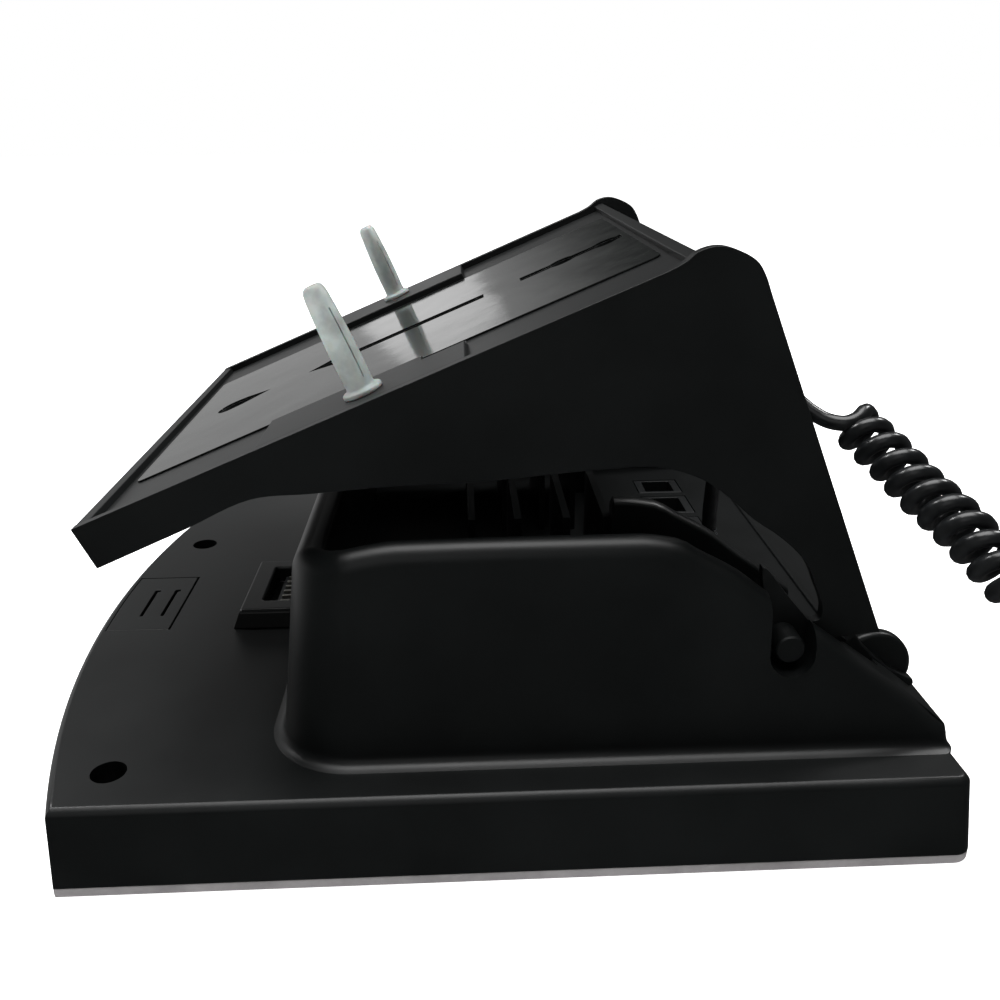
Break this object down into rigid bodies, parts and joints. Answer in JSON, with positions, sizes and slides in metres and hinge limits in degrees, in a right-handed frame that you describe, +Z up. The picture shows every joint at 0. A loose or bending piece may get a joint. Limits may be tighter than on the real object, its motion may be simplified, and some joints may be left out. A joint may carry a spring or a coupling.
{
  "type": "corded telephone",
  "caption": "Corded desk telephone lying on its face, with a folding wall and desk stand, wall plugs, and its handset beside it on a curly cord.",
  "frame": {"origin": "on the table, under the middle of the box round the telephone and its handset, without the cord", "axes": "+Z up from the table, +X from the foot of the telephone to its head, +Y across it and away from the handset"},
  "size_m": [0.288, 0.3542, 0.1517],
  "materials": {
    "black_shell": "satin moulded",
    "black_film": "high gloss",
    "silver_trim": "silver lacquer",
    "nylon": "translucent",
    "steel": "zinc plated",
    "key_plastic": "satin",
    "rubber": "matt",
    "board": "solder mask",
    "glass": "clear",
    "socket": "matt",
    "gold": "plated",
    "plug_clear": "clear",
    "cord_sheath": "gloss"
  },
  "bodies": {
    "telephone": {"access_cover": "black_shell", "computer_jack": "socket", "cord_plug_at_handset": "plug_clear", "cord_plug_at_phone": "plug_clear", "cord_tail_at_handset": "cord_sheath", "cord_tail_at_phone": "cord_sheath", "curly_cord": "cord_sheath", "display_module": "socket", "display_window": "glass", "earpiece_grille": "socket", "front_bezel": "silver_trim", "front_panel": "black_shell", "handset_cradle": "black_shell", "handset_jack": "socket", "handset_lower_shell": "black_shell", "handset_socket": "socket", "handset_upper_shell": "black_shell", "headset_jack": "socket", "housing_screw_far": "steel", "housing_screw_near": "steel", "keypad_mat": "rubber", "loudspeaker": "socket", "main_board": "board", "microphone": "steel", "module_port_contacts": "gold", "module_port_housing": "black_shell", "mouthpiece_grille": "socket", "network_jack": "socket", "power_jack": "socket", "rear_housing": "black_shell", "receiver_capsule": "steel"},
    "stand": {"stand_shell": "black_shell", "stand_film": "black_film", "wall_plug_near": "nylon", "wall_plug_far": "nylon", "wall_screw_near": "steel", "wall_screw_far": "steel"},
    "dial_key_1_body": {"dial_key_1": "key_plastic"},
    "dial_key_2_body": {"dial_key_2": "key_plastic"},
    "dial_key_3_body": {"dial_key_3": "key_plastic"},
    "dial_key_4_body": {"dial_key_4": "key_plastic"},
    "dial_key_5_body": {"dial_key_5": "key_plastic"},
    "dial_key_6_body": {"dial_key_6": "key_plastic"},
    "dial_key_7_body": {"dial_key_7": "key_plastic"},
    "dial_key_8_body": {"dial_key_8": "key_plastic"},
    "dial_key_9_body": {"dial_key_9": "key_plastic"},
    "dial_key_star_body": {"dial_key_star": "key_plastic"},
    "dial_key_0_body": {"dial_key_0": "key_plastic"},
    "dial_key_hash_body": {"dial_key_hash": "key_plastic"},
    "soft_key_1_body": {"soft_key_1": "key_plastic"},
    "soft_key_2_body": {"soft_key_2": "key_plastic"},
    "soft_key_3_body": {"soft_key_3": "key_plastic"},
    "soft_key_4_body": {"soft_key_4": "key_plastic"},
    "speaker_key_body": {"speaker_key": "key_plastic"},
    "headset_key_body": {"headset_key": "key_plastic"},
    "mute_key_body": {"mute_key": "key_plastic"},
    "navigation_key_body": {"navigation_key": "key_plastic"},
    "volume_rocker_body": {"volume_rocker": "key_plastic"},
    "hook_plunger_body": {"hook_plunger": "key_plastic"}
  },
  "joints": [
    {"name": "stand_tilt", "type": "hinge", "parent": "telephone", "child": "stand", "pos_m": [0.0817, 0.0655, 0.0481], "axis": [0, 1, 0], "range_deg": [-6, 12]},
    {"name": "dial_key_1_press", "type": "slide", "parent": "telephone", "child": "dial_key_1_body", "axis": [0, 0, 1], "range_m": [0, 0.0012], "stiffness_N_per_m": 400},
    {"name": "dial_key_2_press", "type": "slide", "parent": "telephone", "child": "dial_key_2_body", "axis": [0, 0, 1], "range_m": [0, 0.0012], "stiffness_N_per_m": 400},
    {"name": "dial_key_3_press", "type": "slide", "parent": "telephone", "child": "dial_key_3_body", "axis": [0, 0, 1], "range_m": [0, 0.0012], "stiffness_N_per_m": 400},
    {"name": "dial_key_4_press", "type": "slide", "parent": "telephone", "child": "dial_key_4_body", "axis": [0, 0, 1], "range_m": [0, 0.0012], "stiffness_N_per_m": 400},
    {"name": "dial_key_5_press", "type": "slide", "parent": "telephone", "child": "dial_key_5_body", "axis": [0, 0, 1], "range_m": [0, 0.0012], "stiffness_N_per_m": 400},
    {"name": "dial_key_6_press", "type": "slide", "parent": "telephone", "child": "dial_key_6_body", "axis": [0, 0, 1], "range_m": [0, 0.0012], "stiffness_N_per_m": 400},
    {"name": "dial_key_7_press", "type": "slide", "parent": "telephone", "child": "dial_key_7_body", "axis": [0, 0, 1], "range_m": [0, 0.0012], "stiffness_N_per_m": 400},
    {"name": "dial_key_8_press", "type": "slide", "parent": "telephone", "child": "dial_key_8_body", "axis": [0, 0, 1], "range_m": [0, 0.0012], "stiffness_N_per_m": 400},
    {"name": "dial_key_9_press", "type": "slide", "parent": "telephone", "child": "dial_key_9_body", "axis": [0, 0, 1], "range_m": [0, 0.0012], "stiffness_N_per_m": 400},
    {"name": "dial_key_star_press", "type": "slide", "parent": "telephone", "child": "dial_key_star_body", "axis": [0, 0, 1], "range_m": [0, 0.0012], "stiffness_N_per_m": 400},
    {"name": "dial_key_0_press", "type": "slide", "parent": "telephone", "child": "dial_key_0_body", "axis": [0, 0, 1], "range_m": [0, 0.0012], "stiffness_N_per_m": 400},
    {"name": "dial_key_hash_press", "type": "slide", "parent": "telephone", "child": "dial_key_hash_body", "axis": [0, 0, 1], "range_m": [0, 0.0012], "stiffness_N_per_m": 400},
    {"name": "soft_key_1_press", "type": "slide", "parent": "telephone", "child": "soft_key_1_body", "axis": [0, 0, 1], "range_m": [0, 0.0012], "stiffness_N_per_m": 400},
    {"name": "soft_key_2_press", "type": "slide", "parent": "telephone", "child": "soft_key_2_body", "axis": [0, 0, 1], "range_m": [0, 0.0012], "stiffness_N_per_m": 400},
    {"name": "soft_key_3_press", "type": "slide", "parent": "telephone", "child": "soft_key_3_body", "axis": [0, 0, 1], "range_m": [0, 0.0012], "stiffness_N_per_m": 400},
    {"name": "soft_key_4_press", "type": "slide", "parent": "telephone", "child": "soft_key_4_body", "axis": [0, 0, 1], "range_m": [0, 0.0012], "stiffness_N_per_m": 400},
    {"name": "speaker_key_press", "type": "slide", "parent": "telephone", "child": "speaker_key_body", "axis": [0, 0, 1], "range_m": [0, 0.0012], "stiffness_N_per_m": 400},
    {"name": "headset_key_press", "type": "slide", "parent": "telephone", "child": "headset_key_body", "axis": [0, 0, 1], "range_m": [0, 0.0012], "stiffness_N_per_m": 400},
    {"name": "mute_key_press", "type": "slide", "parent": "telephone", "child": "mute_key_body", "axis": [0, 0, 1], "range_m": [0, 0.0012], "stiffness_N_per_m": 400},
    {"name": "navigation_key_press", "type": "slide", "parent": "telephone", "child": "navigation_key_body", "axis": [0, 0, 1], "range_m": [0, 0.0012], "stiffness_N_per_m": 400},
    {"name": "hook_press", "type": "slide", "parent": "telephone", "child": "hook_plunger_body", "axis": [0, 0, 1], "range_m": [0, 0.0035], "stiffness_N_per_m": 150},
    {"name": "volume_rock", "type": "hinge", "parent": "telephone", "child": "volume_rocker_body", "pos_m": [-0.0899, 0.09889, 0.00585], "axis": [1, 0, 0], "range_deg": [-2.5, 2.5], "stiffness_Nm_per_rad": 0.05}
  ]
}
